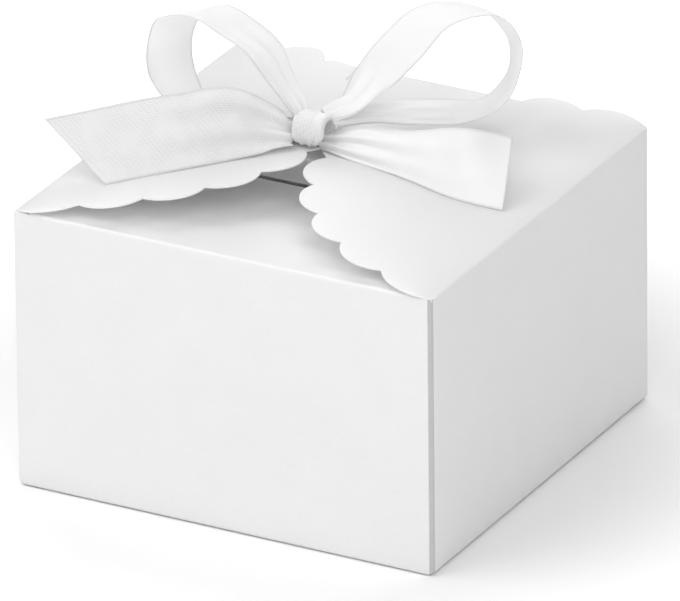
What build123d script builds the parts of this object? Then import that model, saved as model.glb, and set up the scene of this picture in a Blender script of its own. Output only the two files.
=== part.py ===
"""Favor box folded from one sheet of card, closed by two scalloped flaps and a ribbon bow.

Millimetres and degrees. +Z is up, +X is to the right and the front wall faces -Y.
The origin is the middle of the bottom, on the table.
"""

import os
from math import cos, radians, sin, tan

from build123d import *

os.makedirs("parts", exist_ok=True)

# Carton
box_width = 147.0  # outside, left to right
box_depth = 147.0  # outside, front to back
box_height = 94.0  # table to the folds of the rim
board = 0.5  # thickness of the card
corner_radius = 1.2  # outside of the upright folds
fold_relief = 0.1  # gap between a wall's top edge and the flap folded from it

# Glued seam inside the front right corner
tab_width = 14.0
tab_setback = 4.0  # how far the tab stops short of the wall's ends
tab_slant = 4.0  # how much shorter the tab is along its free edge

# Snap-lock bottom
panel_gap = 1.0  # room between a bottom panel and the walls beside it
tongue_width = 60.0
tongue_length = 22.0
tongue_gap = 1.5  # room beside the tongue in the recess and between the side panels
ramp_start = 6.0  # where the tongue leaves the table, behind the middle of the box
ramp_length = 11.0
recess_lead = 30.0  # how far the back panel's two arms reach in front of the middle
side_panel_chamfer = 28.0
panel_corner = 5.0

# Scalloped flaps
left_tilt = 8.3  # the left flap lies over the right one at the tips
right_tilt = 7.4
scallops = 11
scallop_depth = 4.7
tip_lap = 1.75  # how far each tip reaches past the middle of the box
fold_setback = 1.5  # the fold stops this far from the wall's ends
slit_inset = 11.25  # ribbon slit, from the middle of the box
slit_length = 16.0
slit_width = 2.4

# Plain flaps under them
inner_sag = 6.5
inner_gap = 2.9  # slit between the two
inner_taper = 24.0
inner_corner = 4.0
inner_setback = 5.5  # their folds stop short of the scalloped flaps' corners

# Ribbon
ribbon_width = 25.0
ribbon_thickness = 0.4
ribbon_steps = 3  # sections between two points of the bow
knot_x = -3.5
knot_y = -7.0
knot_length = 10.0
knot_depth = 11.0
knot_height = 12.6
knot_end = 0.72  # size of the knot's ends against its middle
knot_clearance = 0.7
strap_width = 9.0
strap_thickness = 0.8
strap_drop = 1.2  # from the middle of the card to the middle of the strap
strap_offset = 4.5  # the strap's middle behind the knot's

# Bow: points from the knot's middle, the way the ribbon's width points, and how much of it is spread
LEFT_LOOP = [
    ((-3, 0.5, 3), (-0.45, -0.75, 0.45), 0.28),
    ((-8.5, 1, 11.5), (-0.3, -0.85, 0.4), 0.6),
    ((-16.5, 2, 20.5), (-0.1, -0.92, 0.37), 0.92),
    ((-27, 2, 28), (0, -0.95, 0.3), 1),
    ((-39, 2, 31.5), (0, -0.96, 0.28), 1),
    ((-49, 2, 27), (0, -0.96, 0.28), 1),
    ((-53, 2, 18), (0, -0.96, 0.28), 1),
    ((-51, 2, 7), (0, -0.96, 0.28), 1),
    ((-42, 3, 0), (0, -0.96, 0.28), 1),
    ((-29, 5, -2), (0, -0.96, 0.28), 0.92),
    ((-16, 6.5, -2), (0, -0.96, 0.28), 0.5),
    ((-3.5, 3.5, 0.5), (0, -0.9, 0.4), 0.28),
]
RIGHT_LOOP = [
    ((3, 2, 3.5), (0.6, -0.7, 0.3), 0.28),
    ((8, 8, 9), (0.75, -0.6, 0.25), 0.6),
    ((13, 15, 13), (0.8, -0.55, 0.25), 0.88),
    ((19.5, 25, 21), (0.77, -0.62, 0.14), 1),
    ((24, 32, 28), (0.76, -0.63, 0.14), 1),
    ((30, 39.5, 31.5), (0.7, -0.69, 0.17), 1),
    ((38, 47, 29), (0.6, -0.74, 0.3), 1),
    ((44.5, 50.5, 20), (0.57, -0.73, 0.38), 1),
    ((46.5, 48, 8.5), (0.55, -0.7, 0.45), 1),
    ((42.5, 41, 1), (0.5, -0.8, 0.3), 1),
    ((34, 31, -1), (0.45, -0.87, 0.12), 1),
    ((24, 21.5, -1), (0.44, -0.89, 0.08), 0.8),
    ((14, 13.5, 0.5), (0.3, -0.95, 0), 0.44),
    ((3.5, 4.5, 0.3), (0.2, -1, 0), 0.28),
]
# Tails: x and y of the lower edge from the knot's middle and its height over the card, then as above
LEFT_TAIL = [
    ((-3, -4, 1.8), (0.2, -0.45, -0.85), 0.26),
    ((-9, -7, 0.6), (0.35, -0.45, -0.8), 0.6),
    ((-17, -15.5, 0.4), (0.43, -0.39, -0.81), 0.92),
    ((-28, -25, 0.4), (0.43, -0.39, -0.81), 1),
    ((-39, -33.5, 0.4), (0.43, -0.39, -0.81), 1),
    ((-50, -42, 0.4), (0.43, -0.39, -0.81), 1),
    ((-64, -53, 0.4), (0.43, -0.39, -0.81), 1),
]
LEFT_TAIL_SLANT = 33.0  # of the cut through the last point but one
RIGHT_TAIL = [
    ((4, -5.5, 1.8), (0.1, -0.5, -0.85), 0.25),
    ((16, -3, 1.2), (0.15, -0.7, -0.7), 0.36),
    ((34, -4, 1), (0.22, -0.72, -0.66), 0.68),
    ((50, -2, 0.9), (0.25, -0.72, -0.64), 0.86),
    ((66.5, 1, 0.9), (0.26, -0.73, -0.63), 1),
]

# Worked out from the sizes above
half_width = box_width / 2
half_depth = box_depth / 2
inner_half_width = half_width - board
inner_half_depth = half_depth - board
wall_top = box_height - board - fold_relief
fold_height = box_height - board / 2
side_fold = half_width - board / 2
front_fold = half_depth - board / 2
lobe_radius = side_fold + tip_lap
notch_radius = lobe_radius - scallop_depth
slit_reach = side_fold - slit_inset


def left_card_top(x):
    """Height of the left scalloped flap's upper face above a point at x."""
    return fold_height + (x + side_fold) * tan(radians(left_tilt)) + board / 2 / cos(radians(left_tilt))


def right_card_top(x):
    """Height of the right scalloped flap's upper face above a point at x."""
    return fold_height + (side_fold - x) * tan(radians(right_tilt)) + board / 2 / cos(radians(right_tilt))


knot_z = left_card_top(knot_x) + knot_clearance + knot_height / 2
knot_centre = Vector(knot_x, knot_y, knot_z)


def finish(piece, name):
    """Label a finished piece and write it."""
    piece.part.label = name
    export_step(piece.part, f"parts/{name}.step")


# Walls: plan outlines traced along the middle of the card, each with the fold at one of its ends
front_line = -half_depth + board / 2
left_line = -half_width + board / 2
back_line = half_depth - board / 2
right_line = half_width - board / 2
fold_x = half_width - corner_radius
fold_y = half_depth - corner_radius
seam_fold_y = -half_depth + board + corner_radius
fold_middle = corner_radius - board / 2

with BuildPart() as front_wall:
    with BuildSketch():
        with BuildLine():
            Line((-fold_x, front_line), (fold_x, front_line))
        trace(line_width=board)
    extrude(amount=wall_top)

with BuildPart() as left_wall:
    with BuildSketch():
        with BuildLine():
            Line((left_line, fold_y), (left_line, -fold_y))
            CenterArc((-fold_x, -fold_y), fold_middle, 180, 90)
        trace(line_width=board)
    extrude(amount=wall_top)

with BuildPart() as back_wall:
    with BuildSketch():
        with BuildLine():
            Line((fold_x, back_line), (-fold_x, back_line))
            CenterArc((-fold_x, fold_y), fold_middle, 90, 90)
        trace(line_width=board)
    extrude(amount=wall_top)

with BuildPart() as right_wall:
    with BuildSketch():
        with BuildLine():
            CenterArc((fold_x, seam_fold_y), fold_middle, 270, 90)
            Line((right_line, seam_fold_y), (right_line, fold_y))
            CenterArc((fold_x, fold_y), fold_middle, 0, 90)
        trace(line_width=board)
    extrude(amount=wall_top)

# Glue tab: behind the front wall, from the fold of the right wall
tab_low = tab_setback
tab_high = wall_top - tab_setback
with BuildPart() as glue_tab:
    with BuildSketch(Plane.XZ.offset(half_depth - 2 * board)):
        with BuildLine():
            Polyline(
                (fold_x, tab_low),
                (fold_x, tab_high),
                (fold_x - tab_width, tab_high - tab_slant),
                (fold_x - tab_width, tab_low + tab_slant),
                close=True,
            )
        make_face()
    extrude(amount=board)

# Snap-lock bottom, from the outside in: front panel, side panels, back panel, tongue
tongue_half = tongue_width / 2
recess_half = tongue_half + tongue_gap
recess_edge = ramp_start + ramp_length + tongue_gap
tongue_end = recess_edge + tongue_length
tongue_level = 3.5 * board + fold_relief
panel_half_width = inner_half_width - panel_gap

with BuildPart() as bottom_front:
    with BuildSketch(Plane.YZ):
        with BuildLine():
            Polyline(
                (-inner_half_depth, board / 2),
                (ramp_start, board / 2),
                (ramp_start + ramp_length, tongue_level),
                (tongue_end, tongue_level),
            )
        trace(line_width=board)
    extrude(amount=panel_half_width, both=True)
    with BuildSketch():
        with BuildLine():
            Polyline(
                (-panel_half_width, -inner_half_depth),
                (panel_half_width, -inner_half_depth),
                (panel_half_width - panel_gap, ramp_start - panel_gap),
                (tongue_half, ramp_start - panel_gap),
                (tongue_half - panel_gap, tongue_end),
                (-tongue_half + panel_gap, tongue_end),
                (-tongue_half, ramp_start - panel_gap),
                (-panel_half_width + panel_gap, ramp_start - panel_gap),
                close=True,
            )
        plan = make_face()
        fillet(plan.vertices().group_by(Axis.Y)[-1], panel_corner)
    extrude(amount=box_height, both=True, mode=Mode.INTERSECT)

side_panel_half = inner_half_depth - panel_gap
with BuildPart() as bottom_left:
    with BuildSketch(Plane.XY.offset(board)):
        with BuildLine():
            Polyline(
                (-inner_half_width, -side_panel_half),
                (-recess_half - side_panel_chamfer / 2, -side_panel_half),
                (-recess_half, -side_panel_half + side_panel_chamfer),
                (-recess_half, side_panel_half - side_panel_chamfer),
                (-recess_half - side_panel_chamfer / 2, side_panel_half),
                (-inner_half_width, side_panel_half),
                close=True,
            )
        plan = make_face()
        fillet(plan.vertices().group_by(Axis.X)[-1], panel_corner)
    extrude(amount=board)

with BuildPart() as bottom_right:
    mirror(bottom_left.part, about=Plane.YZ)

with BuildPart() as bottom_back:
    with BuildSketch(Plane.XY.offset(2 * board)):
        with BuildLine():
            Polyline(
                (-panel_half_width, inner_half_depth),
                (-panel_half_width + panel_gap, -recess_lead),
                (-recess_half, -recess_lead),
                (-recess_half, recess_edge),
                (recess_half, recess_edge),
                (recess_half, -recess_lead),
                (panel_half_width - panel_gap, -recess_lead),
                (panel_half_width, inner_half_depth),
                close=True,
            )
        plan = make_face()
        fillet(plan.vertices().group_by(Axis.Y)[0], panel_corner)
    extrude(amount=board)


def flap_plane(inward, reach, tilt):
    """Plane of a top flap: origin on its fold, X along it, Y into the box, Z out of the card's top."""
    toward = Vector(cos(radians(inward)), sin(radians(inward)), 0)
    along = Vector(sin(radians(inward)), -cos(radians(inward)), 0)
    rising = toward * cos(radians(tilt)) + Vector(0, 0, sin(radians(tilt)))
    return Plane(Vector(0, 0, fold_height) - toward * reach, x_dir=along, z_dir=along.cross(rising))


def fold_end(plane, half_length):
    """Round section at one end of a flap's fold, turned about the fold itself."""
    with BuildSketch(Plane(plane.origin - plane.x_dir * half_length, z_dir=plane.x_dir)) as section:
        Circle(board / 2)
    return section.sketch


def scalloped_outline(plane):
    """Half-round outline with a scalloped edge and the ribbon slit, drawn on the flap's own plane."""
    step = 180 / scallops
    notches = [Vector(scalloped_half, 0)]
    notches += [Vector(notch_radius, 0).rotate(Axis.Z, step * i) for i in range(1, scallops)]
    notches += [Vector(-scalloped_half, 0)]
    with BuildSketch(plane) as outline:
        with BuildLine():
            for i in range(scallops):
                crown = Vector(lobe_radius, 0).rotate(Axis.Z, step * (i + 0.5))
                ThreePointArc(notches[i], crown, notches[i + 1])
            Line(notches[-1], notches[0])
        make_face()
        with Locations((0, slit_reach)):
            SlotOverall(slit_length, slit_width, mode=Mode.SUBTRACT)
    return outline.sketch


def inner_outline(plane):
    """Plain outline with tapered sides and rounded far corners, drawn on the flap's own plane."""
    reach = (front_fold - inner_gap / 2) / cos(radians(inner_sag))
    half_end = inner_half - reach * tan(radians(inner_taper))
    with BuildSketch(plane) as outline:
        with BuildLine():
            Polyline((-inner_half, 0), (inner_half, 0), (half_end, reach), (-half_end, reach), close=True)
        plain = make_face()
        fillet(plain.vertices().group_by(Axis.Y)[-1], inner_corner)
    return outline.sketch


scalloped_half = half_depth - fold_setback
inner_half = half_width - inner_setback
left_plane = flap_plane(0, side_fold, left_tilt)
right_plane = flap_plane(180, side_fold, right_tilt)
front_plane = flap_plane(90, front_fold, -inner_sag)
back_plane = flap_plane(270, front_fold, -inner_sag)

with BuildPart() as scalloped_left_flap:
    extrude(scalloped_outline(left_plane), amount=board / 2, both=True)
    extrude(fold_end(left_plane, scalloped_half), amount=2 * scalloped_half)

with BuildPart() as scalloped_right_flap:
    extrude(scalloped_outline(right_plane), amount=board / 2, both=True)
    extrude(fold_end(right_plane, scalloped_half), amount=2 * scalloped_half)

with BuildPart() as inner_front_flap:
    extrude(inner_outline(front_plane), amount=board / 2, both=True)
    extrude(fold_end(front_plane, inner_half), amount=2 * inner_half)

with BuildPart() as inner_back_flap:
    extrude(inner_outline(back_plane), amount=board / 2, both=True)
    extrude(fold_end(back_plane, inner_half), amount=2 * inner_half)

# Knot: a short rolled barrel that lies on the left flap near its tip
with BuildPart() as bow_knot:
    for place, share in zip((-0.5, -0.36, -0.15, 0.15, 0.36, 0.5), (knot_end, 0.9, 1, 1, 0.9, knot_end)):
        middle = knot_centre + Vector(place * knot_length, 0, 0)
        with BuildSketch(Plane(middle, x_dir=(0, 1, 0), z_dir=(1, 0, 0))):
            RectangleRounded(share * knot_depth, share * knot_height, share * knot_depth / 2.4)
    loft(ruled=True)


def ribbon(stations, edge_share, base):
    """Sections of a ribbon along its stations, gathered where it is less than fully spread.

    edge_share is 0 where a station gives the ribbon's middle and 0.5 where it gives its lower edge.
    """
    points = []
    across = []
    for (x, y, z), direction, spread in stations:
        unit = Vector(*direction).normalized()
        points.append(base(x, y, z) - unit * (edge_share * spread * ribbon_width))
        across.append(unit)
    path = Edge.make_spline(points)
    at = [path.param_at_point(point) for point in points]
    sections = []
    for i in range((len(stations) - 1) * ribbon_steps + 1):
        near = min(i // ribbon_steps, len(stations) - 2)
        share = i / ribbon_steps - near
        place = at[near] + (at[near + 1] - at[near]) * share
        spread = stations[near][2] + (stations[near + 1][2] - stations[near][2]) * share
        unit = across[near] + (across[near + 1] - across[near]) * share
        along = path.tangent_at(place)
        flat = unit - along * unit.dot(along)
        with BuildSketch(Plane(path.position_at(place), x_dir=flat, z_dir=along)) as section:
            Rectangle(spread * ribbon_width, ribbon_thickness / spread)
        sections.append(section.sketch)
    return sections


def from_knot(x, y, z):
    return knot_centre + Vector(x, y, z)


def over_left_card(x, y, z):
    return Vector(knot_x + x, knot_y + y, left_card_top(knot_x + x) + z)


def over_right_card(x, y, z):
    return Vector(knot_x + x, knot_y + y, right_card_top(knot_x + x) + z)


with BuildPart() as bow_left_loop:
    loft(ribbon(LEFT_LOOP, 0, from_knot), ruled=True)
    add(bow_knot.part, mode=Mode.SUBTRACT)

with BuildPart() as bow_right_loop:
    loft(ribbon(RIGHT_LOOP, 0, from_knot), ruled=True)
    add(bow_knot.part, mode=Mode.SUBTRACT)

with BuildPart() as ribbon_right_tail:
    loft(ribbon(RIGHT_TAIL, 0.5, over_right_card), ruled=True)
    add(bow_knot.part, mode=Mode.SUBTRACT)

# The left tail ends in a slanted cut, square to the ribbon's face
corner, width_way, _ = LEFT_TAIL[-2]
before, _, _ = LEFT_TAIL[-3]
cut_corner = over_left_card(*corner)
length_way = (cut_corner - over_left_card(*before)).normalized()
upward = Vector(*width_way).normalized() * -1
slant = upward * cos(radians(LEFT_TAIL_SLANT)) + length_way * sin(radians(LEFT_TAIL_SLANT))
face_normal = length_way.cross(upward)
with BuildPart() as ribbon_left_tail:
    loft(ribbon(LEFT_TAIL, 0.5, over_left_card), ruled=True)
    add(bow_knot.part, mode=Mode.SUBTRACT)
    split(bisect_by=Plane(cut_corner, x_dir=slant, z_dir=slant.cross(face_normal)), keep=Keep.BOTTOM)

# Strap: down one slit, under both tips and up the other, gathered into the knot
left_slit_x = -side_fold + slit_reach * cos(radians(left_tilt))
right_slit_x = side_fold - slit_reach * cos(radians(right_tilt))
left_slit_z = fold_height + slit_reach * sin(radians(left_tilt))
right_slit_z = fold_height + slit_reach * sin(radians(right_tilt))
knot_bottom = knot_z - knot_height / 2
with BuildPart() as ribbon_strap:
    with BuildSketch(Plane.XZ.offset(-(knot_y + strap_offset))):
        with BuildLine():
            Polyline(
                (knot_x - knot_length / 4, knot_bottom + 2 * strap_thickness),
                (left_slit_x, left_slit_z + strap_drop),
                (left_slit_x, left_slit_z - strap_drop),
                (right_slit_x, right_slit_z - strap_drop),
                (right_slit_x, right_slit_z + strap_drop),
                (knot_x + knot_length / 4, knot_bottom + 2.5 * strap_thickness),
            )
        trace(line_width=strap_thickness)
    extrude(amount=strap_width / 2, both=True)
    add(bow_knot.part, mode=Mode.SUBTRACT)

pieces = {
    "front_wall": front_wall,
    "left_wall": left_wall,
    "back_wall": back_wall,
    "right_wall": right_wall,
    "glue_tab": glue_tab,
    "bottom_front": bottom_front,
    "bottom_left": bottom_left,
    "bottom_right": bottom_right,
    "bottom_back": bottom_back,
    "scalloped_left_flap": scalloped_left_flap,
    "scalloped_right_flap": scalloped_right_flap,
    "inner_front_flap": inner_front_flap,
    "inner_back_flap": inner_back_flap,
    "ribbon_strap": ribbon_strap,
    "bow_knot": bow_knot,
    "bow_left_loop": bow_left_loop,
    "bow_right_loop": bow_right_loop,
    "ribbon_left_tail": ribbon_left_tail,
    "ribbon_right_tail": ribbon_right_tail,
}
for name, piece in pieces.items():
    finish(piece, name)
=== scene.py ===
"""White card favor box tied with a satin ribbon bow, set up as in a plain studio photograph.

The stage's are in metres. Angles are in degrees. The frame is the part's own: origin under the middle
of the box, +Z up, front wall towards -Y.
"""

import math
import bmesh
import bpy
from mathutils import Matrix, Vector


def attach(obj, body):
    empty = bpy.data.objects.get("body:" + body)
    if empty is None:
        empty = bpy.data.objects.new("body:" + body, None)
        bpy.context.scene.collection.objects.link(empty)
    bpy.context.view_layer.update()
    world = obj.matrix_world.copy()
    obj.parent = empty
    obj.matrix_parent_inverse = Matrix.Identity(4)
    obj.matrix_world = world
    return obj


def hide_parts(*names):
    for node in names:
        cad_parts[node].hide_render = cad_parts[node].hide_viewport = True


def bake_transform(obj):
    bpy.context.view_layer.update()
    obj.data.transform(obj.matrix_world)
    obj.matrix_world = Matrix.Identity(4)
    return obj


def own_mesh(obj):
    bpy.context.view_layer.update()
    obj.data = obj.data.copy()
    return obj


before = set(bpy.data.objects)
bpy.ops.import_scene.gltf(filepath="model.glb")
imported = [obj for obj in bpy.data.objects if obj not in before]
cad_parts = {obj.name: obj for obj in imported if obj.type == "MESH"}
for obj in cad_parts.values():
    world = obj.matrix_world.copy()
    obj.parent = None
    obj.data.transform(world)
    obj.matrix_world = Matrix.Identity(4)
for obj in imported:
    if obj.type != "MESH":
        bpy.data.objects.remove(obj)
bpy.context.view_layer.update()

MM = 0.001

# Box
HALF = 73.5  # half the outside width and depth
HEIGHT = 94.0
BOARD = 0.5
CORNER = 1.2  # outside radius of the upright folds
CREASE = 1.0  # outside radius of the folds of the rim
FLAT_HALF = HALF - CORNER  # half the flat stretch of a wall
WALL_BOW = 0.3  # how far a wall bulges in its middle
WALL_ROWS = 12  # rows of faces above the foot
WALL_COLS = 20  # columns of faces below a crease
FOLD_STEPS = 8
FOOT = ((0, 1.2), (0.25, 0.65), (0.6, 0.25), (1.2, 0))  # heights, and how far the foot is drawn in there
CORNER_DROP = 0.15  # from the rim down to the wall's top beside a crease
CREASE_END = 0.02  # from the end of a crease to the wall's next points
SEAM_SLACK = 0.05  # a face of the seam's strip of painted shade has its middle no further than this past the fold
SEAM_TOP = 1.5  # and at least this far below the rim

# Edges of the card
SHARP_ANGLE = math.radians(35)  # edges that turn more than this are shaded sharp
BEVEL_ANGLE = math.radians(50)  # and those that turn more than this are bevelled
BEVEL = 0.06
MERGE = 0.002  # points closer than this become one

# Top flaps
SCALLOPED_HALF = 72.6
SCALLOPS = 11
LOBE_RADIUS = 75.0
NOTCH_RADIUS = 70.3
LOBE_STEPS = 12
SCALLOPED_RINGS = 26
SCALLOPED_EASE = 0.8  # below 1, the rings lie closer towards the edge
SLIT_REACH = 62.0
SLIT_LENGTH = 16.0
SLIT_WIDTH = 2.4
SLIT_STEPS = 8
SLIT_CUT = 3.0  # how far the cutter goes above and below the card's upper face
LEFT_TILT = 7.4  # how far the closed flaps rise from their folds
RIGHT_TILT = 6.7
FLAP_BOW = 1.4  # how far the closed card bows up between its fold and its tip
FLAP_ROLL = 0.7  # how far the card next to its fold rolls down into it
ROLL_REACH = 4.0
CREASE_ROWS = 8
CREASE_COLS = 24
INNER_HALF = 68.0
INNER_REACH = 71.6
INNER_TAPER = 24.0  # of each side
INNER_CORNER = 4.0
INNER_SAG = 6.5  # how far the closed inner flaps sink from their folds
INNER_ROWS = 30
INNER_COLS = 24
INNER_EASE = 1.7  # above 1, the rows lie closer towards the rounded end

# Ribbon
RIBBON = 25.0
RIBBON_THICKNESS = 0.2
SPINE_STEPS = 400  # for measuring along a line
LEAST_SPREAD = 0.05
PLEATS = 2.5  # across the width
PLEAT_FULLNESS = 1.15
PLEAT_SHARE = 0.8  # of a full pleat's depth, where the pleats are deepest
PLEAT_LEAST = 0.1  # of that depth, where they have died out
LOOP_ROWS = 160
LEFT_TAIL_CUT = 29.5  # away from a square cut
LEFT_TAIL_TRIM = 17.6  # from the end of its line back to the end of its shorter edge
RIGHT_TAIL_SLANT = 2.0  # by how much one edge is longer than the other
RIGHT_TAIL_TRIM = 8.5  # from the end of its line back to the middle of its cut

# Knot: a band whose edges turn in and lie under its face
KNOT = Vector((-3.5, -7.0, 110.8))
KNOT_OFFSET = Vector((0.8, 0, -1.0))  # from there to the middle of the band
KNOT_LENGTH = 28.0
KNOT_HALF_DEPTH = 4.9
KNOT_HALF_HEIGHT = 5.3
KNOT_SQUARE = 0.85  # below 1, the section is squarer than an ellipse
KNOT_FACE = 5.2  # half the width of the face
KNOT_TURN = 1.8  # width of the cloth that turns in
KNOT_ROUND = 0.3  # how far the face drops towards its edges, and how far the turns bulge out
KNOT_TUCK = 1.8  # how deep the tucked edges lie
KNOT_CREASE = 0.2  # how far the creases of the face go up and down
KNOT_CREASE_END = 1.5  # how deep under the face they have died out
KNOT_NARROWING = 0.4  # share of the width that is lost towards the underside
KNOT_LEAN = 1.8  # how far the underside is drawn to the left
KNOT_ROWS = 96
KNOT_COLS = 50

# Strap under the flaps
STRAP_Y = -2.5
STRAP_PLIES = 3
PLY_GAP = 0.22


def make_object(name, verts, faces, materials):
    """A smooth mesh object from points in millimetres."""
    mesh = bpy.data.meshes.new(name)
    mesh.from_pydata([Vector(v) * MM for v in verts], [], faces)
    mesh.validate()
    obj = bpy.data.objects.new(name, mesh)
    bpy.context.collection.objects.link(obj)
    for material in materials:
        mesh.materials.append(material)
    mesh.shade_smooth()
    return obj


def plate(name, upper, lower, material, bevel=BEVEL):
    """A sheet of card from two matching grids of points, one for each face, closed round its rim."""
    rows = len(upper)
    cols = len(upper[0])
    verts = [p for grid in (upper, lower) for row in grid for p in row]

    def at(side, r, c):
        return side * rows * cols + r * cols + c

    faces = []
    for r in range(rows - 1):
        for c in range(cols - 1):
            faces.append((at(0, r, c), at(0, r, c + 1), at(0, r + 1, c + 1), at(0, r + 1, c)))
            faces.append((at(1, r, c), at(1, r + 1, c), at(1, r + 1, c + 1), at(1, r, c + 1)))
    rim = [(0, c) for c in range(cols)]
    rim += [(r, cols - 1) for r in range(1, rows)]
    rim += [(rows - 1, c) for c in range(cols - 2, -1, -1)]
    rim += [(r, 0) for r in range(rows - 2, 0, -1)]
    for a, b in zip(rim, rim[1:] + rim[:1]):
        faces.append((at(0, *b), at(0, *a), at(1, *a), at(1, *b)))
    obj = make_object(name, verts, faces, [material])
    clean = bmesh.new()
    clean.from_mesh(obj.data)
    bmesh.ops.remove_doubles(clean, verts=clean.verts, dist=MERGE * MM)
    bmesh.ops.dissolve_degenerate(clean, dist=MERGE * MM, edges=clean.edges)
    bmesh.ops.recalc_face_normals(clean, faces=clean.faces)
    clean.to_mesh(obj.data)
    clean.free()
    obj.data.shade_smooth()
    obj.data.set_sharp_from_angle(angle=SHARP_ANGLE)
    if bevel:
        edge = obj.modifiers.new("cut_edge", "BEVEL")
        edge.width = bevel * MM
        edge.segments = 2
        edge.limit_method = "ANGLE"
        edge.angle_limit = BEVEL_ANGLE
    return obj


# Materials


class Nodes:
    """The node tree of a material or world, and short ways to add and join nodes."""

    def __init__(self, owner):
        self.owner = owner
        owner.use_nodes = True
        self.tree = owner.node_tree

    def add(self, kind, **settings):
        node = self.tree.nodes.new(kind)
        for key, value in settings.items():
            setattr(node, key, value)
        return node

    def link(self, out, into):
        self.tree.links.new(out, into)

    def math(self, operation, a, b=0.0):
        node = self.add("ShaderNodeMath", operation=operation)
        for socket, value in zip(node.inputs, (a, b)):
            if isinstance(value, (int, float)):
                socket.default_value = value
            else:
                self.link(value, socket)
        return node.outputs[0]

    def span(self, value, low, high, to_low, to_high):
        """A smooth step from one number to another as a value goes from low to high."""
        node = self.add("ShaderNodeMapRange", interpolation_type="SMOOTHSTEP")
        self.link(value, node.inputs["Value"])
        node.inputs["From Min"].default_value = low
        node.inputs["From Max"].default_value = high
        node.inputs["To Min"].default_value = to_low
        node.inputs["To Max"].default_value = to_high
        return node.outputs["Result"]

    def noise(self, vector, scale, detail, roughness=0.5):
        node = self.add("ShaderNodeTexNoise")
        node.inputs["Scale"].default_value = scale
        node.inputs["Detail"].default_value = detail
        node.inputs["Roughness"].default_value = roughness
        self.link(vector, node.inputs["Vector"])
        return node.outputs["Fac"]

    def seen_directly(self):
        """1 for rays from the camera, off gloss or through a surface, and 0 for those off dull surfaces."""
        ray = self.add("ShaderNodeLightPath")
        direct = self.math("MAXIMUM", ray.outputs["Is Camera Ray"], ray.outputs["Is Glossy Ray"])
        return self.math("MAXIMUM", direct, ray.outputs["Is Transmission Ray"])


class Finish(Nodes):
    """A new material with a Principled shader."""

    def __init__(self, name):
        super().__init__(bpy.data.materials.new(name))
        self.shader = self.tree.nodes["Principled BSDF"]
        self.surface = self.tree.nodes["Material Output"].inputs["Surface"]

    def set(self, **values):
        """Values for the shader's inputs, named with underscores for spaces."""
        for key, value in values.items():
            self.shader.inputs[key.replace("_", " ")].default_value = value

    def grey(self, value, low, high):
        """Shader colour between two linear greys."""
        mix = self.add("ShaderNodeMix", data_type="RGBA")
        mix.inputs["A"].default_value = (low, low, low, 1)
        mix.inputs["B"].default_value = (high, high, high, 1)
        self.link(value, mix.inputs["Factor"])
        self.colour = mix.outputs["Result"]
        self.link(self.colour, self.shader.inputs["Base Color"])

    def let_through(self, share):
        """Send a share of the light on to the far side, as thin card and cloth do."""
        passing = self.add("ShaderNodeBsdfTranslucent")
        self.link(self.colour, passing.inputs["Color"])
        blend = self.add("ShaderNodeMixShader")
        blend.inputs["Fac"].default_value = share
        self.link(self.shader.outputs["BSDF"], blend.inputs[1])
        self.link(passing.outputs["BSDF"], blend.inputs[2])
        self.link(blend.outputs["Shader"], self.surface)

    def bump(self, height, distance):
        node = self.add("ShaderNodeBump")
        node.inputs["Strength"].default_value = 1.0
        node.inputs["Distance"].default_value = distance * MM
        self.link(height, node.inputs["Height"])
        self.link(node.outputs["Normal"], self.shader.inputs["Normal"])


CLOUD_SCALE = 55  # per metre
FIBRE_SCALE = 900  # per metre
FIBRE_RELIEF = 0.03


def card_material(name, low, high, through=0.0):
    """Matt white card: faint cloudy formation, fine fibres across it and a low even sheen."""
    m = Finish(name)
    place = m.add("ShaderNodeTexCoord").outputs["Object"]
    cloud = m.noise(place, CLOUD_SCALE, detail=3.0)
    fibre = m.noise(place, FIBRE_SCALE, detail=4.0, roughness=0.65)
    tone = m.math("ADD", m.math("MULTIPLY", cloud, 0.4), m.math("MULTIPLY", fibre, 0.6))
    m.grey(m.span(tone, 0.3, 0.7, 0, 1), low, high)
    m.link(m.span(fibre, 0.3, 0.7, 0.5, 0.62), m.shader.inputs["Roughness"])
    m.set(Specular_IOR_Level=0.35)
    m.bump(fibre, FIBRE_RELIEF)
    if through:
        m.let_through(through)
    return m.owner


THREAD_ROW = 0.8  # between the rows of thread
THREAD_PERIOD = 1.5  # from one dash of thread to the next
THREAD_SHIFT = 0.3  # of that period, from row to row
WEAR_SCALE = 0.12  # per millimetre, of the patches in which the threads show less
SELVAGE = 1.0  # from the ribbon's edge to where the selvage starts
SELVAGE_SOLID = 0.7  # and to where it is solid
SELVAGE_HEIGHT = 1.5  # times a thread's depth


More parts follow.
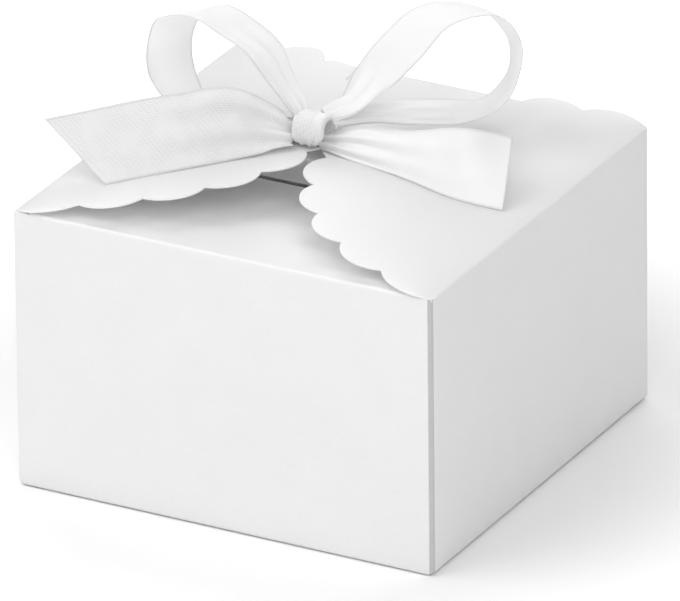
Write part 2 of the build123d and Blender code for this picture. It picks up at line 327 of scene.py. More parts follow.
def ribbon_material(name, dull, through):
    """White satin ribbon: broken rows of thread and firm selvages, plainer to see on its dull side."""
    m = Finish(name)
    uv = m.add("ShaderNodeUVMap", uv_map="ribbon").outputs["UV"]
    parts = m.add("ShaderNodeSeparateXYZ")
    m.link(uv, parts.inputs[0])
    along = parts.outputs["X"]
    across = parts.outputs["Y"]
    row = m.math("MULTIPLY", across, 1 / THREAD_ROW)
    shift = m.math("MULTIPLY", m.math("FLOOR", row), THREAD_SHIFT)
    place = m.math("FRACT", m.math("ADD", m.math("MULTIPLY", along, 1 / THREAD_PERIOD), shift))
    from_dash = m.math("ABSOLUTE", m.math("SUBTRACT", place, 0.5))
    from_row = m.math("ABSOLUTE", m.math("SUBTRACT", m.math("FRACT", row), 0.5))
    dash = m.span(from_dash, 0.25, 0.5, 1, 0)
    line = m.span(from_row, 0.05, 0.35, 1, 0)
    wear = m.span(m.noise(uv, WEAR_SCALE, detail=1.0), 0.35, 0.6, 0.35, 1)
    edge = m.span(m.math("ABSOLUTE", across), RIBBON / 2 - SELVAGE, RIBBON / 2 - SELVAGE_SOLID, 0, 1)
    thread = m.math("MULTIPLY", m.math("MULTIPLY", dash, line), wear)
    weave = m.math("MULTIPLY", thread, m.math("SUBTRACT", 1.0, edge))
    height = m.math("SUBTRACT", m.math("MULTIPLY", edge, SELVAGE_HEIGHT), weave)
    threads = m.math("MULTIPLY", weave, 1.0 if dull else 0.25)
    selvage = m.math("MULTIPLY", edge, 0.9 if dull else 0.7)
    tone = m.math("SUBTRACT", 1.0, m.math("MAXIMUM", threads, selvage))
    if dull:
        m.grey(tone, 0.79, 0.89)
        m.set(Roughness=0.55, Specular_IOR_Level=0.3)
        m.bump(height, 0.05)
    else:
        m.grey(tone, 0.8, 0.96)
        m.set(Roughness=0.36, Specular_IOR_Level=0.5)
        m.bump(height, 0.02)
    m.set(Sheen_Weight=0.15, Sheen_Roughness=0.4)
    m.let_through(through)
    return m.owner


card = card_material("card", 0.88, 0.905)
flap_card = card_material("card_flap", 0.93, 0.95, through=0.35)
inner_card = card_material("card_inner", 0.92, 0.94, through=0.2)
# painted shade: a dark grey copy of the card for the strip at the seam's fold, standing in for the shade in
# the groove there
seam_shade_card = card_material("card_seam_painted_shade", 0.56, 0.6)
loop_satin = ribbon_material("ribbon_loop_satin", dull=False, through=0.45)
satin = ribbon_material("ribbon_satin", dull=False, through=0.1)
dull_side = ribbon_material("ribbon_dull_side", dull=True, through=0.1)


# Walls


def straight(start, end, outward, breaks):
    """Plan points of a flat wall from start to end, with the distance along the wall at each."""
    points = []
    for u in breaks:
        share = (u - breaks[0]) / (breaks[-1] - breaks[0])
        x = start[0] + (end[0] - start[0]) * share
        y = start[1] + (end[1] - start[1]) * share
        points.append((x, y, outward[0], outward[1], u))
    return points


def upright_fold(centre, start, end, u, first=1):
    """Plan points round an upright fold."""
    points = []
    for i in range(first, FOLD_STEPS + 1):
        angle = math.radians(start + (end - start) * i / FOLD_STEPS)
        nx = math.cos(angle)
        ny = math.sin(angle)
        points.append((centre[0] + CORNER * nx, centre[1] + CORNER * ny, nx, ny, u))
    return points


def wall(name, plan, fold_half, node):
    """A wall: its lower edge is rounded under, and its top stops where the crease of its flap begins."""
    top = HEIGHT - CREASE
    foot_top = FOOT[-1][0]
    levels = list(FOOT)
    levels += [(foot_top + (top - foot_top) * i / WALL_ROWS, 0) for i in range(1, WALL_ROWS + 1)]
    outer = []
    inner = []
    for i, (level, inset) in enumerate(levels):
        outer_row = []
        inner_row = []
        for x, y, nx, ny, u in plan:
            z = level
            if i == len(levels) - 1 and abs(u) > fold_half + CREASE_END / 2:
                z = HEIGHT - CORNER_DROP
            bow = 0.0
            if abs(u) < FLAT_HALF:
                bow = WALL_BOW * (1 - (u / FLAT_HALF) ** 2) * math.sin(math.pi * level / top)
            out = bow - inset
            outer_row.append(Vector((x + nx * out, y + ny * out, z)))
            inner_row.append(Vector((x + nx * (out - BOARD), y + ny * (out - BOARD), z)))
        outer.append(outer_row)
        inner.append(inner_row)
    obj = plate(name, outer, inner, card)
    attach(obj, "carton")
    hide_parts(node)
    return obj


def wall_breaks(fold_half):
    """Distances along a wall at which it has points: its ends, the ends of its crease and between."""
    steps = [-fold_half + 2 * fold_half * i / WALL_COLS for i in range(WALL_COLS + 1)]
    if fold_half >= FLAT_HALF:
        return [u * FLAT_HALF / fold_half for u in steps]
    return [-FLAT_HALF, -fold_half - CREASE_END] + steps + [fold_half + CREASE_END, FLAT_HALF]


side_breaks = wall_breaks(SCALLOPED_HALF)
end_breaks = wall_breaks(INNER_HALF)
front_plan = straight((-FLAT_HALF, -HALF), (FLAT_HALF, -HALF), (0, -1), end_breaks)
wall("card_front_wall", front_plan, INNER_HALF, "front_wall")
left_plan = straight((-HALF, FLAT_HALF), (-HALF, -FLAT_HALF), (-1, 0), side_breaks)
left_plan += upright_fold((-FLAT_HALF, -FLAT_HALF), 180, 270, HALF)
wall("card_left_wall", left_plan, SCALLOPED_HALF, "left_wall")
back_plan = straight((FLAT_HALF, HALF), (-FLAT_HALF, HALF), (0, 1), end_breaks)
back_plan += upright_fold((-FLAT_HALF, FLAT_HALF), 90, 180, HALF)
wall("card_back_wall", back_plan, INNER_HALF, "back_wall")
seam_y = -HALF + BOARD + CORNER
right_plan = upright_fold((FLAT_HALF, seam_y), 270, 360, -HALF, first=0)
right_plan += straight((HALF, seam_y), (HALF, FLAT_HALF), (1, 0), side_breaks)[1:]
right_plan += upright_fold((FLAT_HALF, FLAT_HALF), 0, 90, HALF)
right_wall = wall("card_right_wall", right_plan, SCALLOPED_HALF, "right_wall")
# Painted shade: the faces of the fold at the seam, below the rim, take the dark grey card, which stands in
# for the shade in the groove beside the front wall's edge
right_wall.data.materials.append(seam_shade_card)
for face in right_wall.data.polygons:
    if face.center.y < (seam_y + SEAM_SLACK) * MM and face.center.z < (HEIGHT - SEAM_TOP) * MM:
        face.material_index = 1


# Top flaps, each with the rounded crease that joins it to its wall


class Flap:
    """Where the points of one top flap lie: u along its fold, v from the fold towards the middle."""

    def __init__(self, inward, tilt, bow, roll, reach):
        angle = math.radians(inward)
        self.toward = Vector((math.cos(angle), math.sin(angle), 0))
        self.along = Vector((math.sin(angle), -math.cos(angle), 0))
        self.tilt = math.radians(tilt)
        self.bow = bow
        self.roll = roll
        self.reach = reach
        self.crease_end = math.pi / 2 + self.tilt + math.atan(self.rise(0)[1])
        self.first = self.arc(self.crease_end, CREASE)

    def arc(self, angle, radius):
        """Point of the crease's section: distance in from the wall's face, and height."""
        return CREASE + radius * math.cos(angle), HEIGHT - CREASE + radius * math.sin(angle)

    def point(self, u, inward, height):
        """Point at u along the fold, a distance in from the wall's face and a height."""
        return self.toward * (inward - HALF) + self.along * u + Vector((0, 0, height))

    def rise(self, v):
        """How far the card stands above the flat plane through its fold and its tip, and its slope to it."""
        wave = math.pi / self.reach
        fade = math.exp(-v / ROLL_REACH)
        height = self.bow * math.sin(wave * v) + self.roll * (1 - fade - v / self.reach)
        slope = self.bow * wave * math.cos(wave * v) + self.roll * (fade / ROLL_REACH - 1 / self.reach)
        return height, slope

    def profile(self, v):
        """The card's upper face at v: distance in, height and slope."""
        v = max(v, 0.0)
        rise, slope = self.rise(v)
        inward = self.first[0] + v * math.cos(self.tilt)
        return inward, self.first[1] + v * math.sin(self.tilt) + rise, self.tilt + math.atan(slope)

    def faces(self, u, v):
        """Matching points on the upper and lower faces of the card."""
        inward, height, slope = self.profile(v)
        upper = self.point(u, inward, height)
        lower = self.point(u, inward + BOARD * math.sin(slope), height - BOARD * math.cos(slope))
        return upper, lower

    def height_over(self, x):
        """Height of the upper face above a place on the line through the middle, for a side flap."""
        inward = self.toward.x * x + HALF
        v = (inward - self.first[0]) / math.cos(self.tilt)
        return self.profile(v)[1]

    def crease(self, name, half, body):
        """The rounded strip of card between the wall and the flap."""
        places = [-half + 2 * half * j / CREASE_COLS for j in range(CREASE_COLS + 1)]
        upper = []
        lower = []
        for i in range(CREASE_ROWS + 1):
            angle = math.pi + (self.crease_end - math.pi) * i / CREASE_ROWS
            upper.append([self.point(u, *self.arc(angle, CREASE)) for u in places])
            lower.append([self.point(u, *self.arc(angle, CREASE - BOARD)) for u in places])
        obj = plate(name, upper, lower, card, bevel=0)
        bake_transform(obj)


def scalloped_edge():
    """Points of the scalloped outline, from one end of the fold to the other."""
    turn = math.pi / SCALLOPS
    points = []
    for i in range(SCALLOPS):
        ends = []
        for k in (i, i + 1):
            radius = SCALLOPED_HALF if k in (0, SCALLOPS) else NOTCH_RADIUS
            ends.append(on_circle(radius, turn * k))
        crown = on_circle(LOBE_RADIUS, turn * (i + 0.5))
        lobe = three_point_arc(ends[0], crown, ends[1], LOBE_STEPS)
        points += lobe if i == SCALLOPS - 1 else lobe[:-1]
    return points


def on_circle(radius, angle, x=0.0, y=0.0):
    """Point of a circle round (x, y)."""
    return Vector((x + radius * math.cos(angle), y + radius * math.sin(angle)))


def three_point_arc(a, b, c, steps):
    """Points along the circle through a, b and c."""
    d = 2 * (a.x * (b.y - c.y) + b.x * (c.y - a.y) + c.x * (a.y - b.y))
    aa = a.length_squared
    bb = b.length_squared
    cc = c.length_squared
    x = aa * (b.y - c.y) + bb * (c.y - a.y) + cc * (a.y - b.y)
    y = aa * (c.x - b.x) + bb * (a.x - c.x) + cc * (b.x - a.x)
    centre = Vector((x, y))
    centre /= d
    start = math.atan2(a.y - centre.y, a.x - centre.x)
    end = math.atan2(c.y - centre.y, c.x - centre.x)
    while end < start:
        end += math.tau
    radius = (a - centre).length
    angles = [start + (end - start) * i / steps for i in range(steps + 1)]
    return [on_circle(radius, angle, centre.x, centre.y) for angle in angles]


def cut_slit(obj, flap):
    """Cut the ribbon slit through a flap."""
    outline = []
    straight_half = (SLIT_LENGTH - SLIT_WIDTH) / 2
    for side in (1, -1):
        for i in range(SLIT_STEPS + 1):
            angle = math.radians(-90 + 180 * i / SLIT_STEPS)
            u = side * (straight_half + SLIT_WIDTH / 2 * math.cos(angle))
            v = side * SLIT_WIDTH / 2 * math.sin(angle)
            outline.append((u, v))
    verts = []
    for offset in (SLIT_CUT, -SLIT_CUT):
        for u, v in outline:
            inward, height = flap.profile(SLIT_REACH + v)[:2]
            verts.append(flap.point(u, inward, height) + Vector((0, 0, offset)))
    n = len(outline)
    faces = [tuple(range(n)), tuple(range(2 * n - 1, n - 1, -1))]
    faces += [(i, n + i, n + (i + 1) % n, (i + 1) % n) for i in range(n)]
    cutter = make_object("slit_cutter", verts, faces, [])
    fix = bmesh.new()
    fix.from_mesh(cutter.data)
    bmesh.ops.recalc_face_normals(fix, faces=fix.faces)
    fix.to_mesh(cutter.data)
    fix.free()
    others = list(obj.modifiers)
    cut = obj.modifiers.new("slit", "BOOLEAN")
    cut.operation = "DIFFERENCE"
    cut.object = cutter
    cut.solver = "EXACT"
    for modifier in others:
        modifier.show_viewport = False
    bpy.context.view_layer.update()
    evaluated = obj.evaluated_get(bpy.context.evaluated_depsgraph_get())
    mesh = bpy.data.meshes.new_from_object(evaluated)
    obj.modifiers.remove(cut)
    for modifier in others:
        modifier.show_viewport = True
    obj.data = mesh
    mesh.set_sharp_from_angle(angle=SHARP_ANGLE)
    bpy.data.objects.remove(cutter)


def scalloped_flap(name, flap, body, node):
    """An outer flap, in rings that widen from the middle of its fold to its scalloped edge."""
    edge = scalloped_edge()
    upper = []
    lower = []
    for r in range(SCALLOPED_RINGS + 1):
        share = (r / SCALLOPED_RINGS) ** SCALLOPED_EASE
        pairs = [flap.faces(p.x * share, p.y * share) for p in edge]
        upper.append([pair[0] for pair in pairs])
        lower.append([pair[1] for pair in pairs])
    obj = plate(name, upper, lower, flap_card)
    cut_slit(obj, flap)
    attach(obj, body)
    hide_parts(node)
    flap.crease(name + "_crease", SCALLOPED_HALF, body)


def inner_flap(name, flap, body, node):
    """A plain flap that narrows towards its end, where its corners are rounded."""
    upper = []
    lower = []
    for r in range(INNER_ROWS + 1):
        v = INNER_REACH * (1 - (1 - r / INNER_ROWS) ** INNER_EASE)
        half = INNER_HALF - v * math.tan(math.radians(INNER_TAPER))
        near = v - (INNER_REACH - INNER_CORNER)
        if near > 0:
            half -= INNER_CORNER - math.sqrt(max(INNER_CORNER**2 - near**2, 0))
        pairs = [flap.faces(half * (2 * c / INNER_COLS - 1), v) for c in range(INNER_COLS + 1)]
        upper.append([pair[0] for pair in pairs])
        lower.append([pair[1] for pair in pairs])
    obj = plate(name, upper, lower, inner_card)
    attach(obj, body)
    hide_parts(node)
    flap.crease(name + "_crease", INNER_HALF, body)


left_flap = Flap(0, LEFT_TILT, FLAP_BOW, FLAP_ROLL, LOBE_RADIUS)
right_flap = Flap(180, RIGHT_TILT, FLAP_BOW, FLAP_ROLL, LOBE_RADIUS)
front_flap = Flap(90, -INNER_SAG, 0.0, 0.0, INNER_REACH)
back_flap = Flap(270, -INNER_SAG, 0.0, 0.0, INNER_REACH)
scalloped_flap("card_left_flap", left_flap, "left_flap", "scalloped_left_flap")
scalloped_flap("card_right_flap", right_flap, "right_flap", "scalloped_right_flap")
inner_flap("card_front_flap", front_flap, "front_flap", "inner_front_flap")
inner_flap("card_back_flap", back_flap, "back_flap", "inner_back_flap")

# The hidden panels keep the part's own solids
for name in ("glue_tab", "bottom_front", "bottom_left", "bottom_right", "bottom_back"):
    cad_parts[name].data.materials.clear()
    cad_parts[name].data.materials.append(card)


# Ribbon


class Spine:
    """A smooth line through stations of (point, way the width points, share of the width spread)."""

    def __init__(self, stations):
        self.rows = [list(p) + list(Vector(w).normalized()) + [s] for p, w, s in stations]
        self.knots = [0.0]
        for a, b in zip(self.rows, self.rows[1:]):
            self.knots.append(self.knots[-1] + (Vector(b[:3]) - Vector(a[:3])).length)
        self.table = [0.0]
        previous = self.at(0.0)[0]
        for i in range(1, SPINE_STEPS + 1):
            place = self.at(self.knots[-1] * i / SPINE_STEPS)[0]
            self.table.append(self.table[-1] + (place - previous).length)
            previous = place
        self.length = self.table[-1]

    def slope(self, i, k):
        """Slope of value k at station i, from the chords on both sides. An end takes its neighbour's."""
        i = min(max(i, 1), len(self.rows) - 2)
        before = self.knots[i] - self.knots[i - 1]
        after = self.knots[i + 1] - self.knots[i]
        s0 = (self.rows[i][k] - self.rows[i - 1][k]) / before
        s1 = (self.rows[i + 1][k] - self.rows[i][k]) / after
        return (s0 * after + s1 * before) / (before + after)

    def at(self, place):
        """Point, width direction and spread at a place along the chords."""
        i = 0
        while i < len(self.knots) - 2 and place > self.knots[i + 1]:
            i += 1
        h = self.knots[i + 1] - self.knots[i]
        t = (place - self.knots[i]) / h
        out = []
        for k, (a, b) in enumerate(zip(self.rows[i], self.rows[i + 1])):
            ma = self.slope(i, k) * h
            mb = self.slope(i + 1, k) * h
            out.append(a + t * (ma + t * (3 * (b - a) - 2 * ma - mb + t * (2 * (a - b) + ma + mb))))
        return Vector(out[:3]), Vector(out[3:6]).normalized(), min(max(out[6], LEAST_SPREAD), 1.0)

    def along(self, distance):
        """The same at a distance along the line, with the direction of travel."""
        distance = min(max(distance, 0.0), self.length)
        i = 0
        j = SPINE_STEPS
        while j - i > 1:
            middle = (i + j) // 2
            if self.table[middle] <= distance:
                i = middle
            else:
                j = middle
        share = (distance - self.table[i]) / max(self.table[i + 1] - self.table[i], 1e-9)
        place = self.knots[-1] * (i + share) / SPINE_STEPS
        step = self.knots[-1] / SPINE_STEPS
        point, across, spread = self.at(place)
        ahead = self.at(min(place + step, self.knots[-1]))[0]
        behind = self.at(max(place - step, 0.0))[0]
        travel = (ahead - behind).normalized()
        across = (across - travel * across.dot(travel)).normalized()
        return point, across, spread, travel


def gather(v, spread, phase):
    """How far pleats lift the cloth off its middle surface where it is drawn together."""
    depth = RIBBON / (math.tau * PLEATS) * math.sqrt(max(1 - spread**2, 0.0)) * PLEAT_FULLNESS
    return depth * math.sin(math.tau * PLEATS * v + phase)


def cloth(name, verts, rows, cols, uvs, front, back):
    """A thin two-sided sheet from a grid of points, with its own coordinates along and across it."""
    faces = []
    for r in range(rows):
        for c in range(cols):
            a = r * (cols + 1) + c
            faces.append((a, a + 1, a + cols + 2, a + cols + 1))
    obj = make_object(name, verts, faces, [front, back])
    layer = obj.data.uv_layers.new(name="ribbon")
    for loop in obj.data.loops:
        layer.data[loop.index].uv = uvs[loop.vertex_index]
    skin = obj.modifiers.new("cloth", "SOLIDIFY")
    skin.thickness = RIBBON_THICKNESS * MM
    skin.offset = 0
    skin.material_offset = 1
    skin.material_offset_rim = 0
    return obj


def ribbon_piece(name, spine, ends, shape, front, back, rows=120, cols=40):
    """Cloth along a spine. ends gives the distance at which it is cut, for each place across, -0.5 to 0.5."""
    verts = []
    uvs = []
    for r in range(rows + 1):
        for c in range(cols + 1):
            v = c / cols - 0.5
            distance = ends(v) * r / rows
            point, across, spread, travel = spine.along(distance)
            normal = travel.cross(across)
            side, lift = shape(v, spread, distance)
            verts.append(point + across * side + normal * lift)
            uvs.append((distance, v * RIBBON))
    return cloth(name, verts, rows, cols, uvs, front, back)


def from_knot(stations):
    """A line whose points are given from the knot."""
    return Spine([(KNOT + Vector(p), w, s) for p, w, s in stations])


def over_card(stations, flap):
    """Stations that give the lower edge and its height over a flap, turned into those of the middle."""
    placed = []
    for (x, y, z), w, s in stations:
        edge = Vector((KNOT.x + x, KNOT.y + y, flap.height_over(KNOT.x + x) + z))
        placed.append((edge - Vector(w).normalized() * (s * RIBBON / 2), w, s))
    return Spine(placed)


left_loop_line = from_knot([
    ((-3.5, 0.5, 2.5), (-0.05, -0.98, 0.2), 0.28),
    ((-9, 2, 10), (0.1, -0.97, 0.2), 0.6),
    ((-16.5, 3, 20), (0.05, -0.97, 0.24), 0.94),
    ((-28, 4, 26), (0.07, -0.98, 0.18), 1),
    ((-38.5, 3, 30), (0.02, -0.97, 0.23), 1),
    ((-48.5, 3.5, 26), (-0.15, -0.96, 0.24), 1),
    ((-51, 2, 18), (-0.12, -0.97, 0.21), 1),
    ((-50, 1, 8.5), (-0.1, -0.98, 0.2), 1),
    ((-44.5, -0.5, 1.5), (0, -0.97, 0.24), 1),
    ((-29.5, 1.5, -1.5), (0.2, -0.93, 0.27), 0.92),
    ((-16, 5.5, -2), (0.15, -0.94, 0.29), 0.55),
    ((-4, 3.5, 0.5), (-0.1, -0.92, 0.33), 0.25),
])
right_loop_line = from_knot([
    ((3, 4, 2.5), (0.55, -0.83, -0.06), 0.42),
    ((9, 10, 6), (0.68, -0.72, 0.1), 0.78),
    ((12.5, 16.5, 12), (0.76, -0.65, 0.06), 0.97),
    ((19.5, 24, 21.5), (0.8, -0.6, 0.02), 1),
    ((24, 32, 27.8), (0.77, -0.64, 0.08), 1),
    ((30.5, 38.5, 30.3), (0.71, -0.69, 0.17), 1),
    ((38, 47, 28), (0.68, -0.68, 0.26), 1),
    ((45.5, 49.5, 19.5), (0.6, -0.73, 0.32), 1),
    ((47, 47, 9), (0.56, -0.77, 0.32), 1),
    ((43.5, 40.5, 1), (0.64, -0.7, 0.3), 1),
    ((34.5, 30.5, -0.5), (0.68, -0.72, 0.1), 1),
    ((24.5, 21, 0.8), (0.65, -0.75, 0.07), 0.92),
    ((14, 12.5, 1.5), (0.62, -0.78, 0.05), 0.58),
    ((4.5, 4, 1.2), (0.6, -0.8, -0.1), 0.3),
])
left_tail_line = over_card([
    ((-4, -4.5, 1), (0.35, -0.7, -0.6), 0.38),
    ((-10, -9.5, 0.12), (0.33, -0.58, -0.74), 0.68),
    ((-18, -17, 0.08), (0.3, -0.4, -0.86), 0.92),
    ((-28, -26.5, 0.08), (0.38, -0.4, -0.83), 0.96),
    ((-38.5, -35.5, 0.08), (0.46, -0.47, -0.75), 1),
    ((-49, -44.5, 0.08), (0.48, -0.47, -0.74), 1),
    ((-63, -55, 0.08), (0.48, -0.47, -0.74), 1),
], left_flap)
right_tail_line = over_card([
    ((1.5, -0.5, 1.5), (0, -0.72, -0.69), 0.18),
    ((13, -1.8, 0.5), (-0.04, -0.45, -0.89), 0.42),
    ((33.5, -3.5, 0.4), (0, -0.45, -0.89), 0.6),
    ((51, -5.5, 0.35), (0.08, -0.52, -0.85), 0.88),
    ((67.5, -2, 0.35), (0.23, -0.7, -0.67), 1),
    ((76, 1.5, 0.35), (0.25, -0.73, -0.63), 1),
], right_flap)


def plain_shape(phase, cup, smooth=1000.0):
    """Pleats where the cloth is gathered, dying out towards a distance along it, and a slight cup."""

    def shape(v, spread, distance):
        depth = PLEAT_SHARE * max(1 - distance / smooth, PLEAT_LEAST)
        lift = depth * gather(v, spread, phase) + cup * (4 * v * v - 1 / 3)
        return v * spread * RIBBON, lift

    return shape


def hemmed_shape(plain, fold, turn, reach, gathered):
    """As plain, but from the knot to a reach along it the edge beyond a fold line is turned under.

    At the knot it is turned by the angle turn and is gathered to that share of its width.
    """

    def shape(v, spread, distance):
        side, lift = plain(min(v, fold), spread, distance)
        share = min(max(distance / reach, 0.0), 1.0)
        turned = 1 - share * share * (3 - 2 * share)
        over = max(v - fold, 0.0) * RIBBON * (spread + (gathered - spread) * turned)
        angle = math.radians(turn) * turned
        return side + over * math.cos(angle), lift - over * math.sin(angle)

    return shape


def square_cut(length):
    """A cut straight across at a length."""
    return lambda v: length


left_loop = ribbon_piece(
    "ribbon_left_loop",
    left_loop_line,
    square_cut(left_loop_line.length),
    hemmed_shape(plain_shape(phase=0.6, cup=0.3), fold=0.36, turn=115, reach=30, gathered=0.6),
    loop_satin,
    loop_satin,
    LOOP_ROWS,
)
right_loop = ribbon_piece(
    "ribbon_right_loop",
    right_loop_line,
    square_cut(right_loop_line.length),
    plain_shape(phase=2.0, cup=0.3),
    loop_satin,
    loop_satin,
    LOOP_ROWS,
)
left_tail_slant = math.tan(math.radians(LEFT_TAIL_CUT)) * RIBBON
left_tail_end = left_tail_line.length - LEFT_TAIL_TRIM
left_tail = ribbon_piece(
    "ribbon_left_tail_cloth",
    left_tail_line,
    lambda v: left_tail_end + (0.5 - v) * left_tail_slant,
    plain_shape(phase=0.3, cup=0.0),
    satin,
    dull_side,
)
right_tail_end = right_tail_line.length - RIGHT_TAIL_TRIM
right_tail = ribbon_piece(
    "ribbon_right_tail_cloth",
    right_tail_line,
    lambda v: right_tail_end + RIGHT_TAIL_SLANT * v,
    plain_shape(phase=1.2, cup=0.3, smooth=34),
    satin,
    dull_side,
)


def knot_side(reach):
    """Distance out and depth under the face, for a place this far across the band from its middle."""
    if reach < KNOT_FACE:
        return reach, KNOT_ROUND * (reach / KNOT_FACE) ** 4
    turned = (reach - KNOT_FACE) / KNOT_TURN
    if turned < 1:
        out = KNOT_FACE + KNOT_ROUND * math.sin(math.pi * turned)
        return out, KNOT_ROUND + (KNOT_TUCK - KNOT_ROUND) * turned
    return KNOT_FACE - (reach - KNOT_FACE - KNOT_TURN), KNOT_TUCK


def knot_creases(x, angle):
    """Two sets of soft creases along the band, which wander as they go round it."""
    broad = math.sin(1.75 * x + 1.3 * math.sin(angle + 0.6))
    return broad + 0.6 * math.sin(2.9 * x + 1 + 1.6 * math.sin(2 * angle))


def squared(wave):
    """A sine or cosine that makes the knot's section squarer than an ellipse."""
    return math.copysign(abs(wave) ** KNOT_SQUARE, wave)


def knot_piece():
    """The band round the middle: a short loop of ribbon, softly creased, with both edges tucked inside."""
    verts = []
    uvs = []
    for r in range(KNOT_ROWS + 1):
        angle = math.tau * r / KNOT_ROWS
        low = max(-math.sin(angle), 0.0) ** 1.5  # 0 on the upper half, and 1 at the very bottom
        for c in range(KNOT_COLS + 1):
            v = c / KNOT_COLS - 0.5
            out, inset = knot_side(abs(v) * RIBBON)
            x = math.copysign(1, v) * out
            inset -= KNOT_CREASE * knot_creases(x, angle) * max(0, 1 - inset / KNOT_CREASE_END)
            x = x * (1 - KNOT_NARROWING * low) - KNOT_LEAN * low
            y = (KNOT_HALF_DEPTH - inset) * squared(math.cos(angle))
            z = (KNOT_HALF_HEIGHT - inset) * squared(math.sin(angle))
            verts.append(KNOT + KNOT_OFFSET + Vector((x, y, z)))
            uvs.append((KNOT_LENGTH * r / KNOT_ROWS, v * RIBBON))
    return cloth("ribbon_knot", verts, KNOT_ROWS, KNOT_COLS, uvs, satin, dull_side)


knot = knot_piece()

left_slit = left_flap.profile(SLIT_REACH)
right_slit = right_flap.profile(SLIT_REACH)
left_slit_x = left_slit[0] - HALF
right_slit_x = HALF - right_slit[0]
strap_places = [  # x, z and the share of the width that is spread
    (KNOT.x - 1.5, KNOT.z - 4.4, 0.3),
    (-9.0, left_slit[1] + 1.3, 0.34),
    (left_slit_x, left_slit[1] - 0.2, 0.36),
    (left_slit_x + 1.2, left_slit[1] - 1.6, 0.36),
    (right_slit_x - 1.2, right_slit[1] - 1.6, 0.36),
    (right_slit_x, right_slit[1] - 0.2, 0.36),
    (9.0, right_slit[1] + 1.5, 0.34),
    (KNOT.x + 1.5, KNOT.z - 4.2, 0.3),
]
strap_line = Spine([(Vector((x, STRAP_Y, z)), (0, -1, 0), spread) for x, z, spread in strap_places])


def strap_shape(v, spread, distance):
    """Folded flat to a third of its width, in three plies."""
    ply = STRAP_PLIES * (v + 0.5)
    turn = ply % 1 if int(ply) % 2 == 0 else 1 - ply % 1
    return (turn - 0.5) * spread * RIBBON, PLY_GAP * (ply - STRAP_PLIES / 2)


strap = ribbon_piece(
    "ribbon_strap_cloth",
    strap_line,
    square_cut(strap_line.length),
    strap_shape,
    dull_side,
    dull_side,
    rows=80,
    cols=30,
)

stands_for = (
    (left_loop, "bow_left_loop"),
    (right_loop, "bow_right_loop"),
    (left_tail, "ribbon_left_tail"),
    (right_tail, "ribbon_right_tail"),
    (knot, "bow_knot"),
    (strap, "ribbon_strap"),
)
for piece, node in stands_for:
    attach(piece, "left_flap")
    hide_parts(node)
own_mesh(strap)


# Stage: floor, light and camera, in metres

FLOOR_HALF = 6.0
FLOOR_DROP = 0.0006  # below the box, so that a dark line shows under its edges as in the photograph
FLOOR_GREY = 0.94
GLOW = 0.45  # of the floor far from the box, which the photograph shows pure white
GLOW_CENTRE = (0.0, 0.02, 0.0)
GLOW_START = 0.09  # nearer to that centre than this the floor doesn't glow
GLOW_FULL = 0.28
WORLD_LIGHT = 0.22  # what dull surfaces get from the background, which the camera sees as pure white
LAMP_DISTANCE = 1.6
LAMP_SIZE = 1.4
LAMP_AIM = Vector((0, 0, 0.05))
CAMERA_AZIMUTH = 28.4262
CAMERA_ELEVATION = 24.8193
CAMERA_ROLL = -0.62
CAMERA_RIGHT = 0.00146  # from the origin to the lens, along the camera's own axes
CAMERA_UP = 0.04386
CAMERA_BACK = 4.5003
CAMERA_LENS = 754.9  # millimetres, as is the sensor
CAMERA_SENSOR = 36

quarters = ((-1, -1), (1, -1), (1, 1), (-1, 1))
floor_corners = [(FLOOR_HALF * x, FLOOR_HALF * y, -FLOOR_DROP) for x, y in quarters]
floor_mesh = bpy.data.meshes.new("floor")
floor_mesh.from_pydata(floor_corners, [], [(0, 1, 2, 3)])
floor = bpy.data.objects.new("floor", floor_mesh)
bpy.context.collection.objects.link(floor)
paint = Finish("floor_white")
paint.set(Base_Color=(FLOOR_GREY, FLOOR_GREY, FLOOR_GREY, 1), Roughness=0.9, Specular_IOR_Level=0.1)
floor_mesh.materials.append(paint.owner)
spot = paint.add("ShaderNodeVectorMath", operation="DISTANCE")
spot.inputs[1].default_value = GLOW_CENTRE
paint.link(paint.add("ShaderNodeTexCoord").outputs["Object"], spot.inputs[0])
away = paint.span(spot.outputs["Value"], GLOW_START, GLOW_FULL, 0.0, GLOW)
glow = paint.add("ShaderNodeEmission")
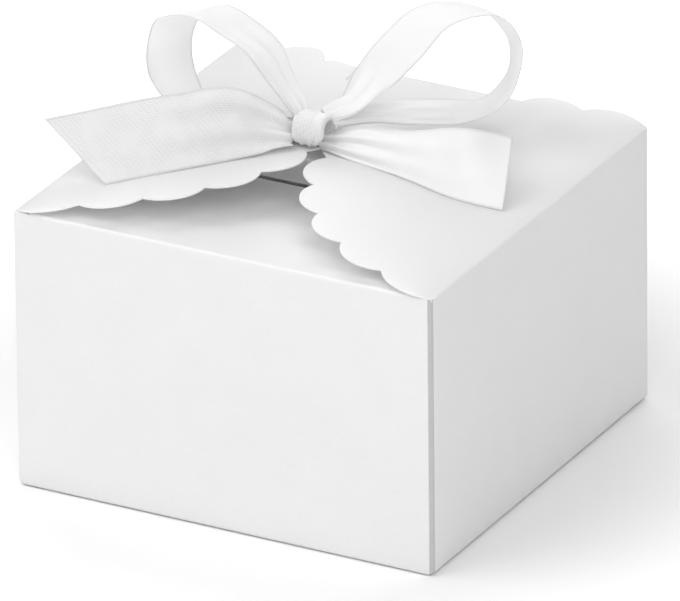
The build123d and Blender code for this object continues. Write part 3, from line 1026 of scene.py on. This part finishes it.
paint.link(paint.math("MULTIPLY", paint.seen_directly(), away), glow.inputs["Strength"])
both = paint.add("ShaderNodeAddShader")
paint.link(paint.shader.outputs["BSDF"], both.inputs[0])
paint.link(glow.outputs["Emission"], both.inputs[1])
paint.link(both.outputs["Shader"], paint.surface)

scene = bpy.context.scene
scene.view_settings.view_transform = "Standard"
world = bpy.data.worlds.new("studio")
scene.world = world
sky = Nodes(world)
background = sky.tree.nodes["Background"]
background.inputs["Color"].default_value = (1, 1, 1, 1)
sky.link(sky.span(sky.seen_directly(), 0, 1, WORLD_LIGHT, 1.0), background.inputs["Strength"])


def area_light(name, direction, power):
    """A round soft lamp in a direction from the box."""
    data = bpy.data.lights.new(name, "AREA")
    data.shape = "DISK"
    data.size = LAMP_SIZE
    data.energy = power
    obj = bpy.data.objects.new(name, data)
    bpy.context.collection.objects.link(obj)
    way = Vector(direction).normalized()
    obj.location = way * LAMP_DISTANCE + LAMP_AIM
    obj.rotation_euler = way.to_track_quat("Z", "Y").to_euler()


area_light("front_left", (-0.47, -0.46, 0.75), power=11.0)
area_light("front_right", (0.49, -0.54, 0.68), power=12.0)
area_light("back", (-0.25, 0.62, 0.74), power=10.5)

azimuth = math.radians(CAMERA_AZIMUTH)
elevation = math.radians(CAMERA_ELEVATION)
roll = math.radians(CAMERA_ROLL)
level = math.cos(elevation)
back = Vector((math.sin(azimuth) * level, -math.cos(azimuth) * level, math.sin(elevation)))
right = Vector((math.cos(azimuth), math.sin(azimuth), 0))
up = back.cross(right)
camera_right = right * math.cos(roll) + up * math.sin(roll)
camera_up = up * math.cos(roll) - right * math.sin(roll)
camera_data = bpy.data.cameras.new("camera")
camera_data.sensor_width = CAMERA_SENSOR
camera_data.lens = CAMERA_LENS
camera = bpy.data.objects.new("camera", camera_data)
bpy.context.collection.objects.link(camera)
place = camera_right * CAMERA_RIGHT + camera_up * CAMERA_UP + back * CAMERA_BACK
axes = Matrix((camera_right, camera_up, back)).transposed()
camera.matrix_world = Matrix.Translation(place) @ axes.to_4x4()
scene.camera = camera
